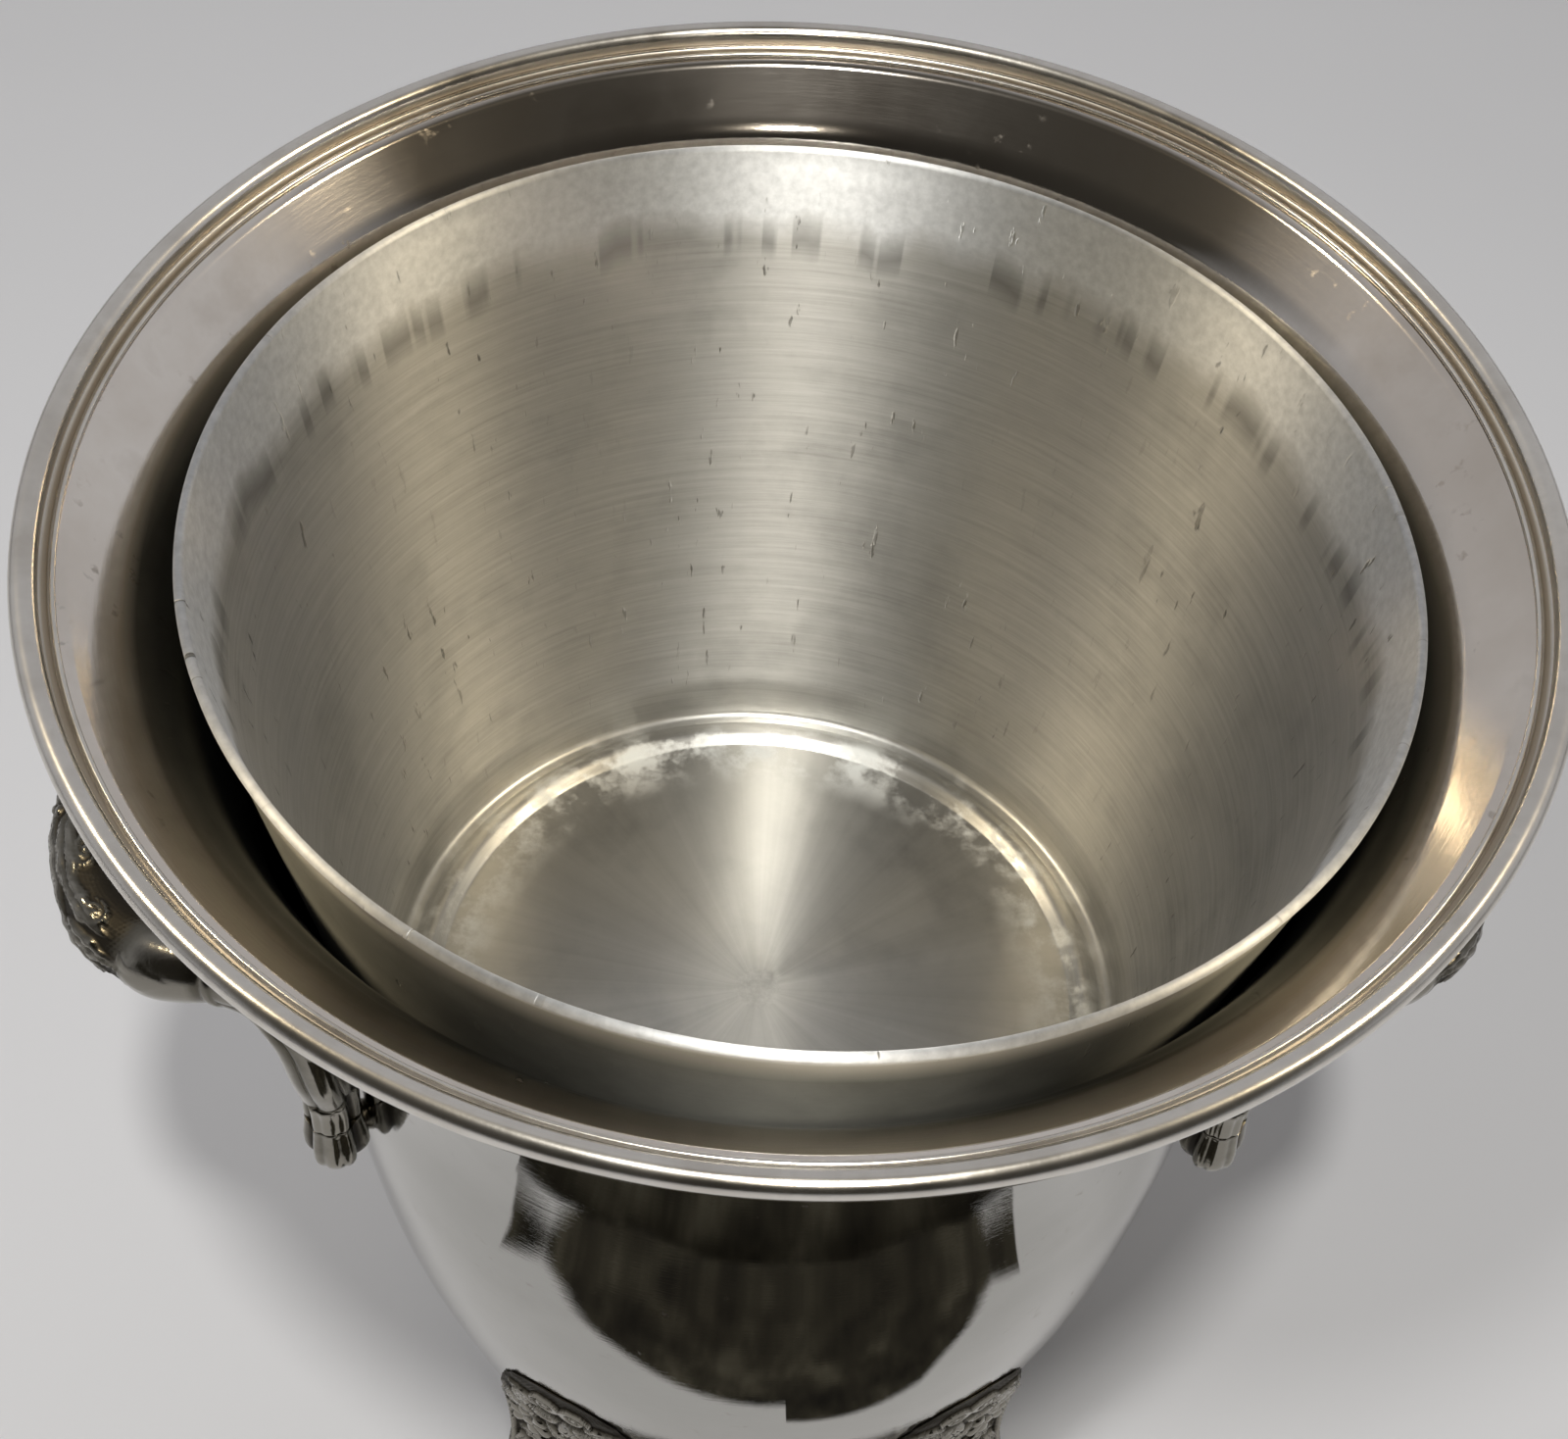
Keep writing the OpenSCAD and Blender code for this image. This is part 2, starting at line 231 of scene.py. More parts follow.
upright, faces = turned(liner_section, 320)
reach = np.maximum(np.hypot(upright[:, 0], upright[:, 1]), 1e-6)[:, None]
around = np.column_stack([upright[:, :2] / reach, upright[:, 2] / 1000 + DEPTH / 1000])
own_place = upright / 1000 + [0, 0, DEPTH / 1000]
wall_at = np.interp(upright[:, 2], [-DEPTH + 3, -LIP_R], [LINER_FOOT_R, LINER_R - LIP_R])
inner_side = np.clip((wall_at - 0.2 - reach[:, 0]) / 0.6, 0, 1)
on_lip = np.clip((upright[:, 2] + 1.9) / 0.3, 0, 1)
inner = np.maximum(inner_side, on_lip)
liner = make_piece("liner_pail", tip_into_neck(upright), faces, "liner", ["liner"],
                   {"around": around, "own_place": own_place, "inner": inner})

# %% [markdown]
# ## Carving: leaves, flowers and scrolls as heights
#
# The cast parts carry the low relief that a chaser cuts into the pattern: leaves with a midrib and
# veins, petalled flowers, scrolls and a pitted ground. Each motif is a formula for a height over a
# flat sheet, and the highest motif wins where two meet, as one leaf lies over another.

# %% The motifs
def to_motif(x, y, at, turn):
    """Coordinates measured from the motif's start, with its direction along the first axis."""
    c, s = math.cos(math.radians(turn)), math.sin(math.radians(turn))
    dx, dy = x - at[0], y - at[1]
    return dx * c + dy * s, dy * c - dx * s


def leaf(x, y, at, turn, length, width, height, curl=0.0, lobes=0):
    """Half width is the width times the sine of the length's fraction, scalloped by the lobes. The
    height is a rounded dome across it, less a groove on the midrib, plus slanting veins."""
    along, across = to_motif(x, y, at, turn)
    u = along / length
    inside = (u > 0) & (u < 1)
    u = np.clip(u, 1e-4, 0.9999)
    across = across - curl * length * u**2
    half = width * np.sin(np.pi * u**0.8) * (1 - (0.26 * np.abs(np.cos(np.pi * lobes * u)) if lobes else 0))
    q = across / np.maximum(half, 0.05)
    dome = np.sqrt(np.clip(1 - q**2, 0, 1))
    rib = 1 - 0.5 * np.exp(-((across / (0.13 * width)) ** 2))
    vein = 1 + 0.13 * np.cos(2 * np.pi * (max(lobes, 5) * u - 0.8 * np.abs(q)))
    rise = 0.45 + 0.55 * np.sin(np.pi * u**0.7)
    return np.where(inside & (np.abs(q) < 1), height * rise * dome * rib * vein, 0)


def flower(x, y, at, radius, petals, height, turn=0.0):
    """The edge swings with the cosine of the petals' angle. Each petal is dished, higher at its rim
    than at its root, and a round boss stands in the middle."""
    dx, dy = x - at[0], y - at[1]
    d, a = np.hypot(dx, dy) / radius, np.arctan2(dy, dx) - math.radians(turn)
    swing = np.abs(np.cos(petals * a / 2))
    q = d / (0.66 + 0.34 * swing**0.6)
    petal = np.clip(1 - q**6, 0, 1) ** 0.5 * (0.25 + 0.75 * swing**0.7) * (0.45 + 0.55 * d)
    boss = 1.05 * np.clip(1 - (d / 0.27) ** 2, 0, 1) ** 0.5
    return height * np.where(q < 1, np.maximum(petal, boss), 0)


def scroll(x, y, at, radius, height, turn=0.0, hand=1):
    """A ridge along a spiral whose radius shrinks by the same share each turn, round a small eye."""
    dx, dy = x - at[0], y - at[1]
    d, a = np.hypot(dx, dy) / radius, hand * np.arctan2(dy, dx) - math.radians(turn)
    pitch = (np.log(np.maximum(d, 0.02)) / -0.17 - a) / (2 * np.pi)
    off = np.abs(pitch - np.round(pitch)) * 2
    ridge = np.sqrt(np.clip(1 - (off / 0.8) ** 2, 0, 1)) * (0.5 + 0.5 * np.clip(d, 0, 1))
    eye = np.clip(1 - (d / 0.24) ** 2, 0, 1) ** 0.5
    return height * np.where(d < 1, np.maximum(np.where(d > 0.24, ridge, 0), eye), 0)


def pitted(x, y, depth, spacing=1.15):
    """Small round hollows in staggered rows, as a beading punch leaves on the ground."""
    row = y / (spacing * 0.866)
    shift = 0.5 * (np.floor(row) % 2)
    cx, cy = (x / spacing + shift) % 1 - 0.5, row % 1 - 0.5
    return -depth * np.clip(1 - (cx**2 + cy**2) / 0.16, 0, 1)


def highest(*heights):
    """The larger height at every place."""
    return np.maximum.reduce(heights)


side_height = leaf(np.array([5.0]), np.array([1.0]), (0, 0), 0, 10, 3, 1)[0]
print("a leaf 10 long stands", round(float(side_height), 2), "at its side")

# %% [markdown]
# ## The handles
#
# Each handle is one casting: a bow that stands out from the neck, with leaves curled over its
# middle, two smooth swelling corners and two fluted arms that run down the body. The bow is a ring
# of points carried along a curved middle line. The ring's own radius swells and shrinks, and the
# carving is added to that radius, so the relief follows every bend.

# %% The bow's middle line and its rings
BOW_HALF = [[133, 0, 187, 7.5], [131, 11, 188, 8], [125, 25, 189.5, 8.5], [115, 34.5, 192, 8.2],
            [103.5, 40.5, 196, 6.6], [94, 46, 198.5, 6], [87.5, 51, 194, 6], [85.3, 52, 182, 5.7],
            [84.5, 50, 170.5, 5.5], [84.5, 50, 162.5, 5.4]]
BOW_CENTRE = np.array([100.0, 0, 178])


def bow_points(side, steps=24, sides=120):
    """For each place on the middle line, `out` is the direction away from the loop's centre made
    square to the line, and `across` is square to both. A ring point is the line's point plus the
    radius times cosine and sine of its angle along them."""
    half = np.array(BOW_HALF)
    line = fair_curve(np.vstack([(half * [1, -1, 1, 1])[::-1], half[1:]]), steps)
    middle, radius = line[:, :3], line[:, 3]
    along = np.gradient(middle, axis=0)
    along /= np.linalg.norm(along, axis=1)[:, None]
    away = middle - BOW_CENTRE
    out = away - np.sum(away * along, 1)[:, None] * along
    out /= np.linalg.norm(out, axis=1)[:, None]
    across = np.cross(along, out)
    length = np.concatenate([[0], np.cumsum(np.linalg.norm(np.diff(middle, axis=0), axis=1))])
    length -= length[-1] / 2
    angle = np.linspace(-np.pi, np.pi, sides, endpoint=False)
    s, a = np.meshgrid(length, angle, indexing="ij")
    carved = bow_carving(s, a * radius[:, None], np.abs(s), a, length[-1])
    r = np.minimum(radius[:, None] - 1.25 + carved, radius[:, None])
    points = (middle[:, None] + r[..., None] * (np.cos(a)[..., None] * out[:, None]
                                                + np.sin(a)[..., None] * across[:, None]))
    if side < 0:
        points = points * [-1, 1, 1]
    return points, carved


# The leaves are a quarter longer than the motifs give, so lengths are scaled before they are drawn.
# The bud's three lobes begin on the arm, up to 11 mm before its end, and are turned to run on into
# the bud.
LEAF_SCALE = 0.80
LOBE_START = 11
LOBE_TURN = 76.6


def bow_carving(s, c, far, a, end):
    """Leaves and a rosette over the middle third, a polished swelling at each corner with a fine
    edge below it, then flutes down each arm to the pointed edge of the bud's three lobes."""
    leaves = np.zeros_like(s)
    for sign in (-1, 1):
        x = sign * s * LEAF_SCALE
        leaves = highest(
            leaves,
            leaf(x, c, (-1.5, 0.5), 4, 25, 5.2, 1.25, curl=0.05, lobes=4),
            leaf(x, c, (2, 6.5), -14, 21, 4.2, 1.15, curl=0.14, lobes=3),
            leaf(x, c, (2, -6.5), 14, 21, 4.2, 1.15, curl=-0.14, lobes=3),
            leaf(x, c, (14, 3.8), 20, 14, 3.1, 1.2, curl=-0.30, lobes=3),
            leaf(x, c, (14, -3.8), -20, 14, 3.1, 1.2, curl=0.30, lobes=3),
            leaf(x, c, (19, 0.2), 0, 13, 3.0, 1.2, lobes=3),
            scroll(x, c, (11.5, 9.6), 3.3, 1.0, turn=40, hand=1),
            scroll(x, c, (11.5, -9.6), 3.3, 1.0, turn=40, hand=-1),
            scroll(x, c, (23.5, 7.0), 2.6, 0.9, turn=-30, hand=-1),
            scroll(x, c, (23.5, -7.0), 2.6, 0.9, turn=-30, hand=1),
        )
    leaves = highest(leaves, flower(s, c, (0, 0), 4.4, 6, 1.25))
    on_middle = 1 / (1 + np.exp((far - 39) / 0.9))
    ground = pitted(s, c, 0.22) * on_middle
    swelling = 1.15 * np.exp(-(((far - 47) / 8.5) ** 4)) * (0.72 + 0.28 * np.cos(a))
    crease = -0.45 * np.exp(-(((a + 1.35) * 7) ** 2)) * np.exp(-(((far - 48) / 8.5) ** 4))
    tongue = leaf(far, c, (34, 0), 0, 15, 4.4, 0.9, lobes=4)
    on_arm = 1 / (1 + np.exp(-(far - 57) / 1.5))
    flutes = (0.25 + 0.75 * np.abs(np.cos(2.5 * a)) ** 0.6) * on_arm
    ring = 0.9 * np.exp(-(((far - 57) / 1.4) ** 4))
    turned_by = a - math.radians(LOBE_TURN)
    edge = end - LOBE_START + 2.2 * np.abs(np.sin(1.5 * turned_by))
    below = 1 / (1 + np.exp(-(far - edge) / 0.12))
    lobes = 1.3 - 1.3 * np.abs(np.cos(1.5 * turned_by)) ** 10 - 0.33 * np.abs(np.cos(4.5 * turned_by)) ** 6
    groove = -0.5 * np.exp(-(((far - edge + 0.5) / 0.4) ** 2))
    carved = highest(np.where(leaves > 0, leaves, 0), swelling + 0 * s, flutes, ring) + ground + crease
    return (carved + 0.35 * tongue * (swelling > 0.3)) * (1 - below) + lobes * below + groove


for side, name in ((-1, "left"), (1, "right")):
    grid, carved = bow_points(side)
    rows, cols = grid.shape[:2]
    quads = grid_faces(rows, cols, wrap=True)
    j = np.arange(cols)
    k = (j + 1) % cols
    ends = np.array([grid[0].mean(0), grid[-1].mean(0)])
    first, end, last = rows * cols, rows * cols + 1, (rows - 1) * cols
    caps = [np.stack([0 * j + first, k, j], -1), np.stack([last + j, last + k, 0 * j + end], -1)]
    fans = [quads, *caps]
    if side > 0:
        fans = [f[:, ::-1] for f in fans]
    relief = np.append(carved.ravel(), [0.5, 0.5])
    make_piece(f"handle_bow_{name}", np.vstack([grid.reshape(-1, 3), ends]), fans, "bucket",
               [f"handle_{name}"], {"relief": relief})

# %% [markdown]
# ## The buds
#
# Each arm ends in a drooping bud that hides the threaded post. It was cast separately: a swelling
# split into three lobes by deep clefts, and a small tip, carrying on the lobes that the arm begins.
# It is a turned profile whose radius also swings with the angle, so one formula gives the lobes.

# %% Lobes and tip
BUD_X, BUD_Y = 84.5, 50.0
BUD_LINE = fair_curve([[0, 162.4], [4.6, 162.35], [5.45, 162.2], [5.6, 161], [5.9, 158.5],
                       [6.3, 155], [6.1, 151.5], [4.4, 148.6], [2.0, 147.0], [0, 146.6]], 12)


def bud(angle_deg, sides=108):
    """Radius is the profile's, less a cleft that follows the cube of the cosine of three half
    turns and a fine vein each side of it. Both meet the arm's own lobes at the top."""
    a = np.arange(sides) * 2 * np.pi / sides
    r, z = BUD_LINE[1:-1, 0][:, None], BUD_LINE[1:-1, 1][:, None]
    on_bud = np.clip((162.4 - z) / 0.2, 0, 1)
    cleft = np.abs(np.cos(1.5 * a))[None] ** 10
    vein = 0.06 * np.abs(np.cos(4.5 * a))[None] ** 6
    radius = r * (1 - on_bud * (0.24 * cleft + vein))
    middle = math.hypot(BUD_X, BUD_Y)
    points = np.stack([middle + radius * np.cos(a), radius * np.sin(a), z + 0 * radius], -1)
    carved = 1.0 - on_bud * (1.1 * cleft + 4 * vein) + 0 * radius
    turn_to = math.radians(angle_deg)
    c, s = math.cos(turn_to), math.sin(turn_to)
    flat = points.reshape(-1, 3)
    ends = np.array([[middle, 0, BUD_LINE[0, 1]], [middle, 0, BUD_LINE[-1, 1]]])
    flat = np.vstack([flat, ends])
    flat = np.column_stack([flat[:, 0] * c - flat[:, 1] * s, flat[:, 0] * s + flat[:, 1] * c, flat[:, 2]])
    rows = len(r)
    j = np.arange(sides)
    k = (j + 1) % sides
    first, end, last = rows * sides, rows * sides + 1, (rows - 1) * sides
    faces = [grid_faces(rows, sides, wrap=True)[:, ::-1], np.stack([0 * j + first, j, k], -1),
             np.stack([last + k, last + j, 0 * j + end], -1)]
    return flat, faces, np.append(carved.ravel(), [1, 1])


def bud_pad(angle_deg, sides=64):
    """A short waisted neck of metal from the shell to the bud, level with its post."""
    middle = math.hypot(BUD_X, BUD_Y)
    wall = bowl_radius(156.0)
    x = np.linspace(wall - 0.2, middle - 3.2, 16)
    r = 3.4 - 0.6 * np.sin(np.pi * (x - x[0]) / (x[-1] - x[0]))
    a = np.arange(sides) * 2 * np.pi / sides
    points = np.stack([x[:, None] + 0 * a, r[:, None] * np.cos(a), 156 + r[:, None] * np.sin(a)], -1)
    points = points.reshape(-1, 3)
    c, s = math.cos(math.radians(angle_deg)), math.sin(math.radians(angle_deg))
    ends = np.array([[x[0], 0, 156], [x[-1], 0, 156]])
    p = np.vstack([points, ends])
    p = np.column_stack([p[:, 0] * c - p[:, 1] * s, p[:, 0] * s + p[:, 1] * c, p[:, 2]])
    rows = len(x)
    j = np.arange(sides)
    k = (j + 1) % sides
    first, end, last = rows * sides, rows * sides + 1, (rows - 1) * sides
    faces = [grid_faces(rows, sides, wrap=True)[:, ::-1], np.stack([0 * j + first, j, k], -1)[:, ::-1],
             np.stack([last + k, last + j, 0 * j + end], -1)[:, ::-1]]
    return p, faces


bud_turn = math.degrees(math.atan2(BUD_Y, BUD_X))
corners = {"lf": 180 + bud_turn, "lb": 180 - bud_turn, "rf": -bud_turn, "rb": bud_turn}
for corner, angle in corners.items():
    p, f, carved = bud(angle)
    q, g = bud_pad(angle)
    whole = np.vstack([p, q])
    make_piece(f"handle_bud_{corner}_cast", whole, f + [h + len(p) for h in g], "bucket",
               [f"handle_bud_{corner}"], {"relief": np.append(carved, np.full(len(q), 0.4))})

# %% [markdown]
# ## The feet
#
# Each foot is a cast bracket whose arched top lies high on the bowl, where two studs hold it. Below
# the bowl it drops straight and then spreads into a broad toe. Its face is crowded with flowers,
# leaves and scrolls between plain side strips. The face is a grid bent to the bracket's measured
# shape, with the carving added outwards; the back is smooth, as a casting's is.

# %% A foot's outline and its carved face
FOOT_TOP = 89.8
FOOT_ROWS = np.array([[90, 86.9, 0, 4], [88, 86.9, 0, 9], [84, 86.7, 0, 13.5], [77, 85.8, 0, 16.8],
                      [69, 84.4, 0, 18.8], [60, 82.5, 0, 20], [55.5, 81.8, 0, 20.2],
                      [51, 81.3, 0, 20.2], [43.5, 80.9, 76.5, 20.1], [36, 81.2, 76.8, 19.8],
                      [29, 82.3, 77.9, 20.2], [20, 84.6, 80.2, 22.5], [11.5, 87.9, 83.5, 25.5],
                      [5, 90.6, 85.6, 28], [1.2, 91.8, 85.8, 29.5], [0, 91.4, 85, 29.5]])[::-1]


def foot_carving(s, z, half):
    """Leaves and a scroll fill the arch, a flower stands at each side below them, curled leaves run
    down the ankle and a fan of leaves spreads over the toe. All lie on a pitted ground."""
    x = np.abs(s)
    work = highest(
        flower(x, z, (12.6, 50.8), 6.4, 6, 1.8, turn=20),
        leaf(x, z, (13.5, 58), 62, 12, 2.9, 1.7, curl=0.34, lobes=3),
        leaf(x, z, (10.5, 57.5), 84, 12, 2.8, 1.7, curl=-0.20, lobes=3),
        leaf(x, z, (9, 68), 66, 13, 2.8, 1.6, curl=0.16, lobes=4),
        leaf(x, z, (5.5, 76), 40, 10, 2.5, 1.5, curl=-0.20, lobes=3),
        scroll(x, z, (3.6, 81.2), 3.8, 1.6, turn=60, hand=1),
        scroll(x, z, (4.6, 70.5), 3.6, 1.5, turn=-40, hand=-1),
        leaf(s, z, (0, 54), 90, 19, 3.4, 1.7, lobes=5),
        leaf(x, z, (1, 52), 42, 10, 2.6, 1.5, curl=0.20, lobes=3),
        flower(s, z, (0, 46), 5.2, 5, 1.7, turn=90),
        leaf(x, z, (5.2, 44.5), -6, 12, 2.8, 1.5, curl=-0.16, lobes=4),
        leaf(x, z, (3.5, 42), -48, 15, 3.2, 1.6, curl=0.22, lobes=4),
        leaf(s, z, (0, 40.5), -90, 15, 3.0, 1.6, lobes=4),
        scroll(x, z, (7.5, 27), 4.4, 1.6, turn=120, hand=1),
        scroll(x, z, (15.4, 29.5), 2.8, 1.2, turn=10, hand=-1),
        leaf(x, z, (14, 40), -72, 10, 2.4, 1.4, curl=0.2, lobes=3),
        leaf(s, z, (0, 24), -90, 22, 3.6, 1.6, lobes=5),
        leaf(x, z, (2.4, 22), -66, 20, 3.3, 1.5, curl=0.10, lobes=5),
        leaf(x, z, (6, 21.5), -48, 21, 3.1, 1.4, curl=0.12, lobes=5),
        leaf(x, z, (10, 21), -36, 19, 2.8, 1.3, curl=0.16, lobes=4),
    )
    ground = pitted(s, z, 0.25) * (work < 0.05)
    from_edge = half - x
    plain = np.clip((72 - z) / 4, 0, 1)
    border = plain * (0.5 + 0.9 * np.exp(-(((from_edge - 1.9) / 0.35) ** 4))) * (from_edge < 2.3)
    rounding = -1.2 * np.exp(-from_edge / 0.30)
    return np.maximum(work * np.clip(from_edge / 0.8 - 2.6 * plain, 0, 1), border) + ground + rounding


def foot(angle_deg, cols=150, rows=170):
    """Sideways is a share of the half width at that height, which is lightly scalloped round the
    arch. Width and both radii are read off the measured rows."""
    u, v = np.meshgrid(np.linspace(-1, 1, cols), np.linspace(0, 1, rows), indexing="xy")
    z = FOOT_TOP * v + 0 * u
    order = FOOT_ROWS[:, 0]
    half = np.interp(z, order, FOOT_ROWS[:, 3])
    half = half * (1 - 0.05 * np.abs(np.sin(z * 0.48)) * np.clip((z - 72) / 3, 0, 1))
    s = u * half
    face_r = np.interp(z, order, FOOT_ROWS[:, 1])
    on_bowl = bowl_radius(np.clip(z, 42, 90)) + 0.1
    free_back = np.interp(z, order, np.where(FOOT_ROWS[:, 2] > 0, FOOT_ROWS[:, 2], 77.8))
    back_r = np.where(z > 44, on_bowl, free_back)
    share = np.clip((z - 43.5) / 3, 0, 1)
    back_r = (1 - share) * back_r + share * on_bowl
    carved = foot_carving(s, z, half)
    fade = np.clip(FOOT_TOP - z, 0.3, 1) * np.clip(z, 0.2, 1)
    front_r = np.minimum(face_r - np.interp(z, [70, 88], [1.4, 0.9]) + carved * fade, face_r)
    front_r = np.maximum(front_r, back_r + 0.25)
    a = s / face_r + math.radians(angle_deg)
    front = np.stack([front_r * np.cos(a), front_r * np.sin(a), z], -1)
    back = np.stack([back_r * np.cos(a), back_r * np.sin(a), z], -1)
    n = rows * cols
    g = grid_faces(rows, cols)
    i, j = np.arange(rows - 1) * cols, np.arange(cols - 1)
    top_row = (rows - 1) * cols
    sides = [np.stack([i, i + cols, n + i + cols, n + i], -1),
             np.stack([i + cols - 1, n + i + cols - 1, n + i + 2 * cols - 1, i + 2 * cols - 1], -1),
             np.stack([j, n + j, n + j + 1, j + 1], -1),
             np.stack([top_row + j, top_row + j + 1, n + top_row + j + 1, n + top_row + j], -1)]
    relief = np.append(carved.ravel(), np.full(n, 0.3))
    return np.vstack([front.reshape(-1, 3), back.reshape(-1, 3)]), [g, g[:, ::-1] + n, *sides], relief


for corner, angle in {"lf": 240, "lb": 120, "rf": -60, "rb": 60}.items():
    p, f, carved = foot(angle)
    make_piece(f"foot_{corner}_cast", p, f, "bucket", [f"foot_{corner}"], {"relief": carved})

# %% [markdown]
# ## Finishes: a few helpers
#
# Worn silver is never one colour. Each finish below is a metal whose colour and roughness are
# steered by layers of noise, and by the carved height where there is carving, because polish wears
# the high places bright and leaves the hollows dark.

# %% Node helpers
def new_finish(name):
    """An empty node tree with a metal shader and its output joined."""
    finish = bpy.data.materials.new(name)
    finish.use_nodes = True
    tree = finish.node_tree
    tree.nodes.clear()
    out = tree.nodes.new("ShaderNodeOutputMaterial")
    shader = tree.nodes.new("ShaderNodeBsdfPrincipled")
    tree.links.new(shader.outputs[0], out.inputs[0])
    return finish, tree, shader


def node(tree, kind, inputs=None, **settings):
    """A node with its settings made and its inputs set or linked."""
    made = tree.nodes.new(kind)
    for key, value in settings.items():
        setattr(made, key, value)
    for key, value in (inputs or {}).items():
        if isinstance(value, bpy.types.NodeSocket):
            tree.links.new(value, made.inputs[key])
        else:
            made.inputs[key].default_value = value
    return made


def noise(tree, where, scale, detail=4.0, rough=0.55, stretch=None):
    """Cloudy values from 0 to 1 at a place, with the place stretched first where asked."""
    if stretch:
        where = node(tree, "ShaderNodeMapping", {"Vector": where, "Scale": stretch}).outputs[0]
    inputs = {"Vector": where, "Scale": scale, "Detail": detail, "Roughness": rough}
    return node(tree, "ShaderNodeTexNoise", inputs).outputs["Fac"]


def ramp(tree, value, stops):
    """A ladder of colours or greys from low values to high ones."""
    made = node(tree, "ShaderNodeValToRGB", {"Fac": value})
    while len(made.color_ramp.elements) < len(stops):
        made.color_ramp.elements.new(0.5)
    for element, (place, colour) in zip(made.color_ramp.elements, stops):
        element.position = place
        element.color = (*colour, 1) if isinstance(colour, tuple) else (colour, colour, colour, 1)
    return made.outputs["Color"]


def band(tree, value, low, high):
    """0 at the first value and 1 at the second, level outside them and even between."""
    return node(tree, "ShaderNodeMapRange", {"Value": value, "From Min": low, "From Max": high},
                clamp=True).outputs[0]


def bumped(tree, height, strength, distance=0.0003, over=None, invert=False):
    """Fine unevenness from a height, on top of another one where given."""
    inputs = {"Height": height, "Strength": strength, "Distance": distance}
    if over is not None:
        inputs["Normal"] = over
    return node(tree, "ShaderNodeBump", inputs, invert=invert).outputs[0]


def blend(tree, share, low, high):
    """Mixes two colours by a share."""
    made = node(tree, "ShaderNodeMix", data_type="RGBA")
    for socket, value in ((made.inputs[0], share), (made.inputs[6], low), (made.inputs[7], high)):
        if isinstance(value, bpy.types.NodeSocket):
            tree.links.new(value, socket)
        else:
            socket.default_value = (*value, 1) if isinstance(value, tuple) else value
    return made.outputs[2]


def sums(tree, kind, a, b, c=0.0, clamp=False):
    """One step of arithmetic on values."""
    return node(tree, "ShaderNodeMath", {0: a, 1: b, 2: c}, operation=kind, use_clamp=clamp).outputs[0]


def give(piece, finish):
    """Puts one finish on a piece."""
    piece.data.materials.clear()
    piece.data.materials.append(finish)


def give_node(name, finish):
    """Puts a finish on every slot of a node of the frame."""
    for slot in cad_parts[name].material_slots:
        slot.material = finish


# %% [markdown]
# ## Plated silver
#
# Hand-rubbed plate is nearly a mirror, with soft clouds of yellow-brown tarnish, a few darker
# freckles, and hair scratches that run round it from wiping. The flange is the part that hands and
# bottles touch, so it is duller and pinker there, which a blend on height gives.

# %% The plate's nodes
plate, tree, shader = new_finish("plated_silver")
where = node(tree, "ShaderNodeTexCoord").outputs["Object"]
height = node(tree, "ShaderNodeSeparateXYZ", {0: where}).outputs[2]
clouds = noise(tree, where, 26, 6, 0.6)
broad = noise(tree, where, 9, 3, 0.5)
freckle = noise(tree, where, 260, 3, 0.6)
where_freckled = noise(tree, where, 38, 3, 0.6)
wiping = noise(tree, where, 90, 4, 0.7, stretch=(1, 1, 14))
on_flange = band(tree, height, 0.262, 0.270)
# The bowl's tone is held far darker than the flange's. This is painted shade for the shaded floor that the
# bowl mirrors, with cloudy tarnish over it.
bowl_tone_painted_shade = ramp(tree, clouds, [(0.3, (0.345, 0.34, 0.32)), (0.55, (0.385, 0.38, 0.36)),
                 (0.8, (0.325, 0.315, 0.295))])
flange_tone = ramp(tree, clouds, [(0.28, (0.68, 0.62, 0.55)), (0.48, (0.89, 0.83, 0.76)),
                   (0.72, (0.79, 0.72, 0.64))])
tone = blend(tree, on_flange, bowl_tone_painted_shade, flange_tone)
stain = ramp(tree, broad, [(0.40, 0.0), (0.70, 0.5)])
tone = blend(tree, sums(tree, "MULTIPLY", stain, on_flange), tone, (0.45, 0.385, 0.31))
spots = sums(tree, "MULTIPLY", ramp(tree, freckle, [(0.62, 0.0), (0.70, 1.0)]),
             ramp(tree, where_freckled, [(0.52, 0.0), (0.66, 0.75)]))
tone = blend(tree, spots, tone, (0.24, 0.20, 0.16))
tree.links.new(tone, shader.inputs["Base Color"])
rough_low = ramp(tree, clouds, [(0.3, 0.015), (0.75, 0.045)])
rough_high = ramp(tree, clouds, [(0.3, 0.13), (0.75, 0.09)])
gloss = blend(tree, on_flange, rough_low, rough_high)
gloss = blend(tree, spots, gloss, (0.4, 0.4, 0.4))
tree.links.new(gloss, shader.inputs["Roughness"])
hair_lines = bumped(tree, wiping, 0.035, 0.0004)
tree.links.new(bumped(tree, broad, 0.05, 0.004, over=hair_lines), shader.inputs["Normal"])
shader.inputs["Metallic"].default_value = 1.0
give(shell, plate)
print("plated silver has", len(tree.nodes), "nodes")

# %% [markdown]
# ## The moulding's finish
#
# The rim moulding is the same plate, rubbed brighter on its round top, with dark tarnish left in
# its groove and under its edge. The groove lies at one radius, so distance from the axis finds it.

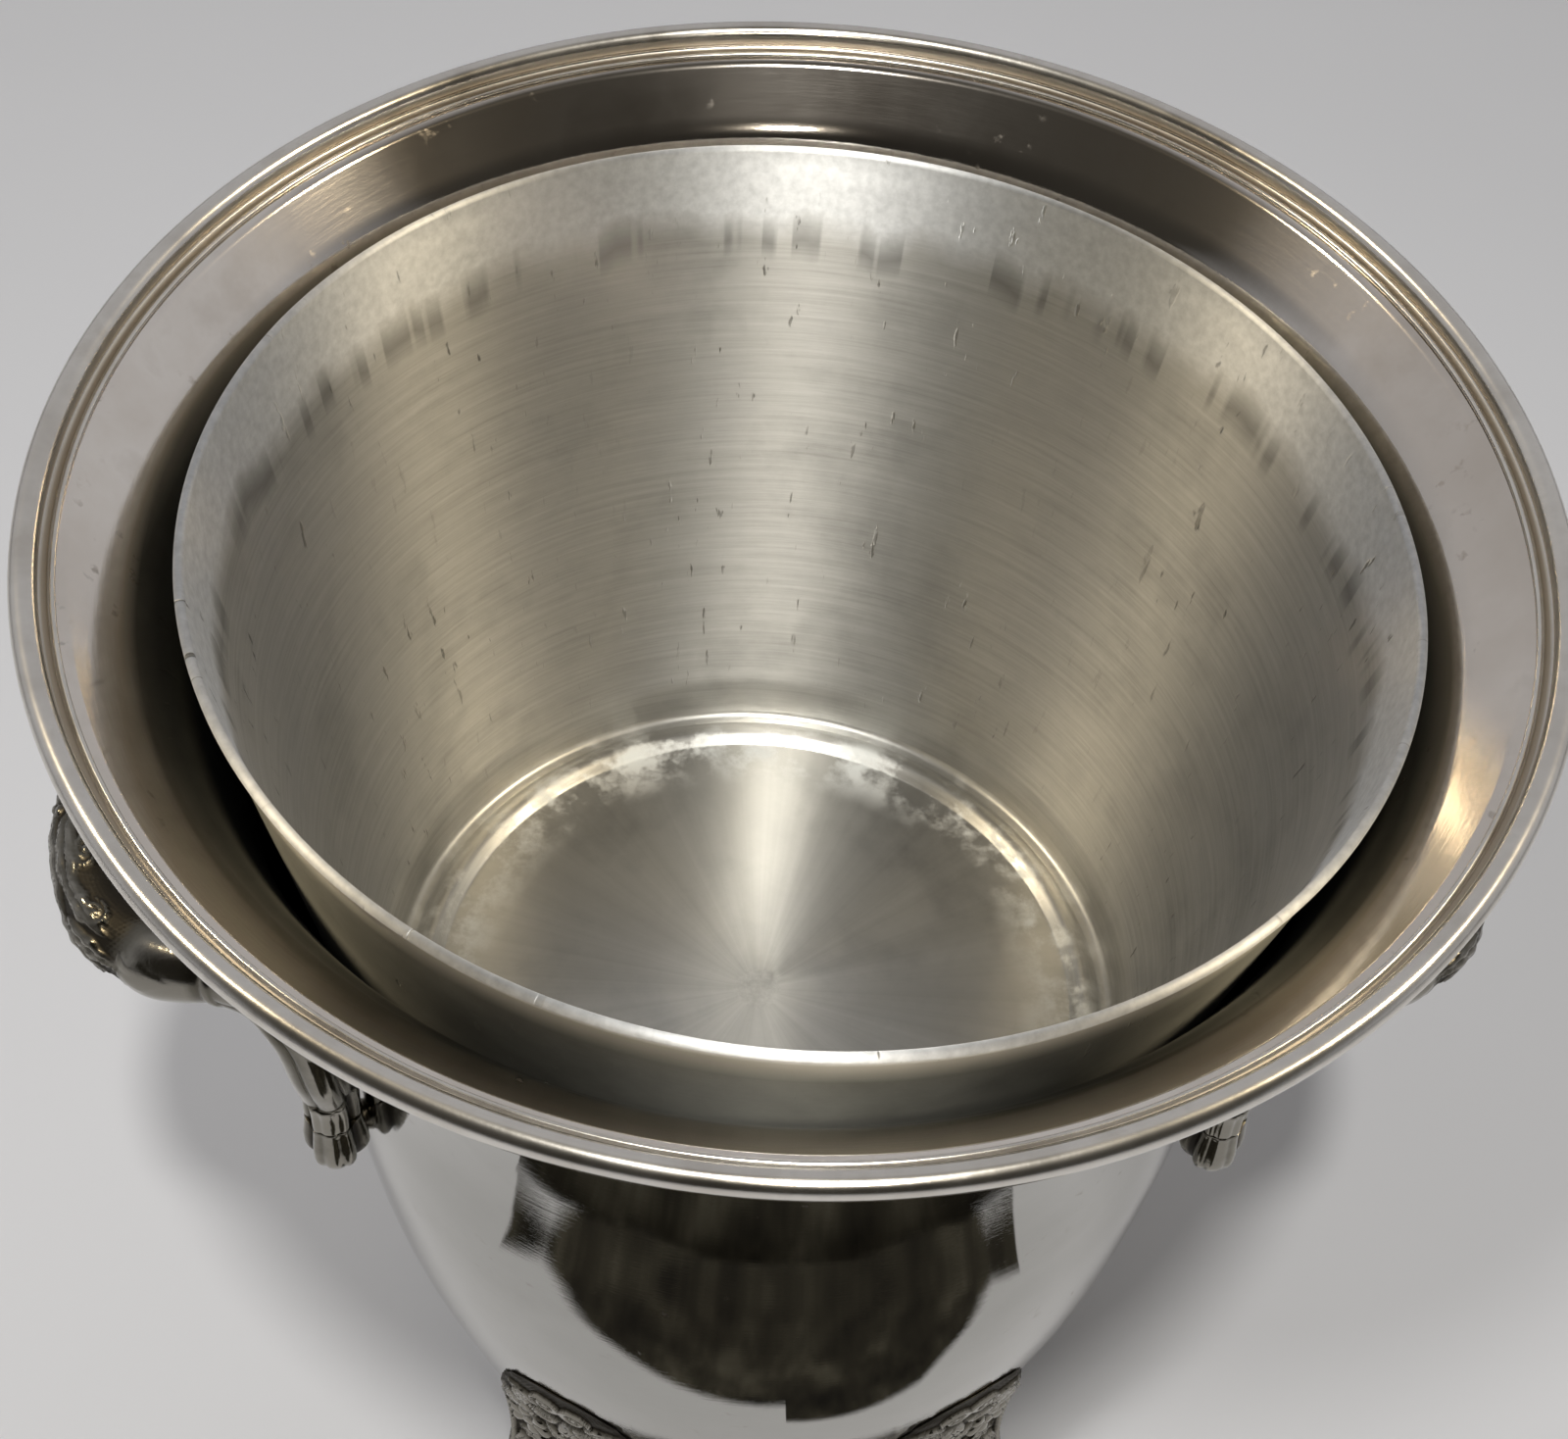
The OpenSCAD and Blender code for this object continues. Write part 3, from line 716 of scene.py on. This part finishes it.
# %% Bright bead, dark groove
rim_plate, tree, shader = new_finish("rim_silver")
where = node(tree, "ShaderNodeTexCoord").outputs["Object"]
parts = node(tree, "ShaderNodeSeparateXYZ", {0: where}).outputs
flat = node(tree, "ShaderNodeCombineXYZ", {0: parts[0], 1: parts[1]}).outputs[0]
reach_out = node(tree, "ShaderNodeVectorMath", {0: flat}, operation="LENGTH").outputs["Value"]
clouds = noise(tree, where, 48, 6, 0.62)
bright = ramp(tree, clouds, [(0.3, (0.62, 0.58, 0.52)), (0.55, (0.74, 0.71, 0.66)),
              (0.8, (0.50, 0.46, 0.40))])
groove = band(tree, reach_out, 0.1240, 0.1262)
in_groove = ramp(tree, groove, [(0.0, 0.0), (0.16, 1.0), (0.50, 1.0), (0.8, 0.0)])
tone = blend(tree, in_groove, bright, (0.30, 0.26, 0.21))
tree.links.new(tone, shader.inputs["Base Color"])
gloss = ramp(tree, clouds, [(0.3, 0.17), (0.75, 0.27)])
tree.links.new(blend(tree, in_groove, gloss, (0.45, 0.45, 0.45)), shader.inputs["Roughness"])
fine = noise(tree, where, 700, 3, 0.6)
tree.links.new(bumped(tree, fine, 0.05), shader.inputs["Normal"])
shader.inputs["Metallic"].default_value = 1.0
give(rim, rim_plate)
print("rim silver has", len(tree.nodes), "nodes")

# %% [markdown]
# ## The liner's grey metal
#
# The pail is soft grey metal, spun and left satin: fine rings run round it, ice tongs have left
# short dark nicks down the wall, the top of the inside has weathered to a pale bloom with a ragged
# lower edge, and hard water has left a chalky crescent round the floor. All of it is drawn on the
# pail's own upright numbers.

# %% The liner's nodes
grey, tree, shader = new_finish("spun_liner")
ring_place = node(tree, "ShaderNodeAttribute", attribute_name="around").outputs["Vector"]
own = node(tree, "ShaderNodeAttribute", attribute_name="own_place").outputs["Vector"]
up = node(tree, "ShaderNodeSeparateXYZ", {0: own}).outputs[2]
flat = node(tree, "ShaderNodeVectorMath", {0: own, 1: (1, 1, 0)}, operation="MULTIPLY").outputs[0]
reach_out = node(tree, "ShaderNodeVectorMath", {0: flat}, operation="LENGTH").outputs["Value"]
rings = noise(tree, ring_place, 1.0, 5, 0.75, stretch=(2.2, 2.2, 900))
mottle = noise(tree, own, 34, 6, 0.65)
nicks = noise(tree, ring_place, 1.0, 3, 0.6, stretch=(46, 46, 110))
nick_places = noise(tree, own, 22, 3, 0.6)
bloom_edge = sums(tree, "MULTIPLY_ADD", noise(tree, ring_place, 1.0, 2, 0.5, stretch=(7, 7, 12)), 0.012, up)
bloom = band(tree, bloom_edge, 0.1270, 0.1340)
smudge = sums(tree, "MULTIPLY", band(tree, bloom_edge, 0.1225, 0.1270),
              sums(tree, "SUBTRACT", 1.0, bloom))
blocks = noise(tree, ring_place, 1.0, 1, 0.4, stretch=(24, 24, 3))
smudge = sums(tree, "MULTIPLY", smudge, ramp(tree, blocks, [(0.50, 0.0), (0.56, 0.7)]))
wall_tone = ramp(tree, mottle, [(0.25, (0.30, 0.295, 0.27)), (0.5, (0.44, 0.43, 0.395)),
                 (0.78, (0.36, 0.35, 0.325))])
wall_tone = blend(tree, 0.35, wall_tone, ramp(tree, rings, [(0.3, 0.28), (0.7, 0.60)]))
frost = ramp(tree, noise(tree, own, 520, 3, 0.6), [(0.3, (0.56, 0.57, 0.575)), (0.7, (0.70, 0.71, 0.715))])
wall_tone = blend(tree, bloom, wall_tone, frost)
wall_tone = blend(tree, smudge, wall_tone, (0.20, 0.20, 0.19))
on_wall = band(tree, up, 0.006, 0.012)
dents = sums(tree, "MULTIPLY", ramp(tree, nicks, [(0.655, 0.0), (0.70, 1.0)]),
             ramp(tree, nick_places, [(0.45, 0.15), (0.62, 0.9)]))
dents = sums(tree, "MULTIPLY", dents, on_wall)
wall_tone = blend(tree, dents, wall_tone, (0.16, 0.155, 0.14))
ring_share = ramp(tree, band(tree, reach_out, 0.055, 0.078),
                  [(0.0, 0.0), (0.35, 0.8), (0.55, 1.0), (0.75, 0.5), (1.0, 0.0)])
chalky = ramp(tree, noise(tree, own, 60, 6, 0.7), [(0.47, 0.0), (0.60, 0.8)])
crescent = sums(tree, "MULTIPLY", ring_share, chalky)
low = band(tree, up, 0.010, 0.003)
chalk = sums(tree, "MULTIPLY", crescent, low)
tone = blend(tree, chalk, wall_tone, (0.72, 0.74, 0.73))
within = node(tree, "ShaderNodeAttribute", attribute_name="inner").outputs["Fac"]
# The pail's outside is painted dark below as shade, and a band just under the lip is painted light where
# light falls between the lip and the flange. Only the mottle in them is the metal's own.
outer_wall_painted_shade = ramp(tree, mottle, [(0.3, (0.105, 0.105, 0.095)), (0.7, (0.17, 0.17, 0.155))])
lip_band_painted_light = band(tree, up, 0.130, 0.1395)
outer_painted_light_and_shade = blend(tree, lip_band_painted_light, outer_wall_painted_shade, (0.50, 0.49, 0.45))
tone = blend(tree, within, outer_painted_light_and_shade, tone)
tree.links.new(tone, shader.inputs["Base Color"])
wall_gloss = ramp(tree, mottle, [(0.25, 0.42), (0.75, 0.50)])
gloss = blend(tree, on_wall, ramp(tree, mottle, [(0.25, 0.31), (0.75, 0.40)]), wall_gloss)
gloss = blend(tree, bloom, gloss, (0.52, 0.52, 0.52))
gloss = blend(tree, chalk, gloss, (0.75, 0.75, 0.75))
gloss = blend(tree, within, (0.6, 0.6, 0.6), gloss)
tree.links.new(gloss, shader.inputs["Roughness"])
spin = bumped(tree, rings, 0.10)
tree.links.new(bumped(tree, dents, 0.25, 0.0004, over=spin, invert=True), shader.inputs["Normal"])
tangent = node(tree, "ShaderNodeTangent", direction_type="RADIAL", axis="Z")
tree.links.new(tangent.outputs[0], shader.inputs["Tangent"])
shader.inputs["Metallic"].default_value = 1.0
stretched = node(tree, "ShaderNodeMapRange", {"Value": on_wall, "To Min": 0.55, "To Max": 0.92}).outputs[0]
tree.links.new(stretched, shader.inputs["Anisotropic"])
shader.inputs["Anisotropic Rotation"].default_value = 0.25
give(liner, grey)
print("spun liner has", len(tree.nodes), "nodes")

# %% [markdown]
# ## Cast silver
#
# The castings are left darker than the shell, and polish only reaches the tops of their leaves. The
# carved height rides on the mesh, so the finish can darken the hollows exactly where they are.

# %% Bright tops and dark hollows
cast, tree, shader = new_finish("cast_silver")
where = node(tree, "ShaderNodeTexCoord").outputs["Object"]
relief = node(tree, "ShaderNodeAttribute", attribute_name="relief").outputs["Fac"]
grime = noise(tree, where, 210, 4, 0.6)
level = sums(tree, "MULTIPLY_ADD", sums(tree, "SUBTRACT", grime, 0.5), 0.55, relief)
tone = ramp(tree, level, [(0.0, (0.040, 0.035, 0.027)), (0.30, (0.10, 0.09, 0.07)),
            (0.70, (0.15, 0.14, 0.115)), (1.0, (0.27, 0.255, 0.22))])
tree.links.new(tone, shader.inputs["Base Color"])
tree.links.new(ramp(tree, level, [(0.0, 0.55), (0.4, 0.26), (0.95, 0.12)]), shader.inputs["Roughness"])
grain = noise(tree, where, 900, 3, 0.6)
tree.links.new(bumped(tree, grain, 0.10), shader.inputs["Normal"])
shader.inputs["Metallic"].default_value = 1.0
castings = [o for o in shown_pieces() if o.data.attributes.get("relief")]
for piece in castings:
    give(piece, cast)
print("cast silver on", [p.name for p in castings])

# %% [markdown]
# ## Steel fasteners
#
# The studs, washers and nuts are hidden behind the liner. They are plain zinc-bright steel, turned
# or pressed, with faint machining lines and a little brown here and there.

# %% Steel on the frame's own fasteners
steel, tree, shader = new_finish("fastener_steel")
where = node(tree, "ShaderNodeTexCoord").outputs["Object"]
wear = noise(tree, where, 320, 5, 0.65)
lines = noise(tree, where, 160, 3, 0.7, stretch=(1, 1, 9))
tone = ramp(tree, wear, [(0.3, (0.40, 0.37, 0.33)), (0.55, (0.60, 0.60, 0.60)),
            (0.8, (0.52, 0.515, 0.50))])
tree.links.new(tone, shader.inputs["Base Color"])
tree.links.new(ramp(tree, wear, [(0.3, 0.48), (0.7, 0.30)]), shader.inputs["Roughness"])
tree.links.new(bumped(tree, lines, 0.12), shader.inputs["Normal"])
shader.inputs["Metallic"].default_value = 1.0
fasteners = ["handle_studs", "handle_washers", "handle_nuts", "foot_studs", "foot_washers", "foot_nuts"]
for name in fasteners:
    give_node(name, steel)
print("steel on", len(fasteners), "nodes")

# %% [markdown]
# ## Table, cards and light
#
# Polished silver shows its surroundings more than itself, so the stage is part of the finish. The
# bucket stands on a pale sheet. Two dark cards are held level before the bowl, one above the
# other. Only reflections see them, and they give the bowl the deep patch that makes silver look
# like silver. The sky is pale on every side but the viewer's.

# %% Pale floor and the dark cards
def flat_card(name, corners_mm, height_mm):
    """A level card with the given corners, facing up."""
    mesh = bpy.data.meshes.new(name)
    corners = [(x / 1000, y / 1000, height_mm / 1000) for x, y in corners_mm]
    mesh.from_pydata(corners, [], [list(range(len(corners)))])
    card = bpy.data.objects.new(name, mesh)
    bpy.context.scene.collection.objects.link(card)
    return card


floor = flat_card("pale_floor", [(-6000, -6000), (6000, -6000), (6000, 6000), (-6000, 6000)], 0)
sheet, tree, shader = new_finish("pale_sheet")
where = node(tree, "ShaderNodeTexCoord").outputs["Object"]
soft = noise(tree, where, 3, 3, 0.5)
tone = ramp(tree, soft, [(0.3, (0.78, 0.78, 0.795)), (0.7, (0.82, 0.82, 0.835))])
tree.links.new(tone, shader.inputs["Base Color"])
shader.inputs["Roughness"].default_value = 0.6
give(floor, sheet)

LOWER_CARD_Z, UPPER_CARD_Z = 90, 172
DARK_EDGE = [(-83, -80), (-74, -94), (-42, -96), (4, -96), (4, -92), (37, -88), (68, -94), (75, -86)]
lower_corners = [(-89, -96), (-84, -190), (80, -190), (83, -99), *DARK_EDGE[::-1]]
dark_card = flat_card("dark_card", lower_corners, LOWER_CARD_Z)
upper_corners = [(-57, -82), (-30, -95), (0, -98), (26, -96), (48, -88), (53, -100), (36, -135),
                 (-44, -135), (-62, -100)]
upper_card = flat_card("dark_card_upper", upper_corners, UPPER_CARD_Z)
counter, tree, shader = new_finish("dark_counter")
where = node(tree, "ShaderNodeTexCoord").outputs["Object"]
patch = noise(tree, where, 42, 6, 0.65, stretch=(1.6, 2.6, 1))
tone = ramp(tree, patch, [(0.35, (0.010, 0.009, 0.007)), (0.52, (0.045, 0.040, 0.028)),
            (0.68, (0.12, 0.11, 0.08))])
tree.links.new(tone, shader.inputs["Base Color"])
shader.inputs["Roughness"].default_value = 0.7
shader.inputs["Specular IOR Level"].default_value = 0.1
for card in (dark_card, upper_card):
    give(card, counter)
    card.visible_camera = card.visible_shadow = card.visible_diffuse = False
print("dark card follows the bowl by", len(DARK_EDGE), "corners")

# %% The sky and the lamps
scene = bpy.context.scene
scene.view_settings.view_transform = "Standard"
world = bpy.data.worlds.new("studio_air")
scene.world = world
world.use_nodes = True
tree = world.node_tree
tree.nodes.clear()
out = tree.nodes.new("ShaderNodeOutputWorld")
air = tree.nodes.new("ShaderNodeBackground")
tree.links.new(air.outputs[0], out.inputs[0])
way = node(tree, "ShaderNodeTexCoord").outputs["Generated"]
VIEWER_WAY = (-0.04, -0.80, 0.60)
to_viewer = node(tree, "ShaderNodeVectorMath", {0: way, 1: VIEWER_WAY},
                 operation="DOT_PRODUCT").outputs["Value"]
sky = [(0.0, (0.46, 0.46, 0.475)), (0.60, (0.43, 0.43, 0.445)), (0.78, (0.045, 0.042, 0.036)),
       (1.0, (0.024, 0.022, 0.019))]
tree.links.new(ramp(tree, sums(tree, "MULTIPLY_ADD", to_viewer, 0.5, 0.5), sky), air.inputs[0])
air.inputs[1].default_value = 1.0


def lamp(name, at, size, watts, colour, only=""):
    """A round soft lamp that faces the bucket. A lamp with only "glints" shows in the metal's shine
    and adds nothing to the table; one with only "fill" does the opposite."""
    light = bpy.data.lights.new(name, "AREA")
    light.shape, light.size, light.energy, light.color = "DISK", size, watts, colour
    holder = bpy.data.objects.new(name, light)
    holder.location = at
    holder.rotation_euler = (Vector((0, 0, 0.2)) - Vector(at)).to_track_quat("-Z", "Y").to_euler()
    holder.visible_diffuse = only != "glints"
    holder.visible_glossy = only != "fill"
    scene.collection.objects.link(holder)
    return holder


lamp("front_lamp", (0.0, -0.50, 1.70), 0.14, 11, (1.0, 0.985, 0.95))
lamp("left_front_lamp", (-0.56, -0.56, 1.62), 0.20, 7, (1.0, 0.99, 0.98), only="fill")
lamp("front_glint_lamp", (0.02, -0.46, 1.66), 0.12, 9, (1.0, 0.95, 0.85), only="glints")
lamp("viewer_lamp", (0.035, -0.36, 0.66), 0.03, 0.45, (1.0, 0.92, 0.78), only="glints")
lamp("right_lamp", (1.10, 0.05, 1.50), 0.22, 11, (1.0, 0.84, 0.58), only="glints")
lamp("left_lamp", (-1.05, 0.25, 1.55), 0.22, 10, (1.0, 0.84, 0.58), only="glints")

# %% [markdown]
# ## The camera
#
# The viewer stands in front and looks down into the bucket from close by, so the rim looms large
# and the feet fall away. A close, high camera with a normal lens gives the same drawing.

# %% Place the camera
view = bpy.data.cameras.new("view_camera")
view.lens, view.sensor_width = 58.5, 36.0
view.shift_x, view.shift_y = -0.031, -0.059
view.clip_start, view.clip_end = 0.02, 50
camera = bpy.data.objects.new("view_camera", view)
camera.location = (-0.02311, -0.29358, 0.59163)
camera.rotation_euler = tuple(math.radians(v) for v in (40.419, -3.427, -1.696))
scene.collection.objects.link(camera)
scene.camera = camera
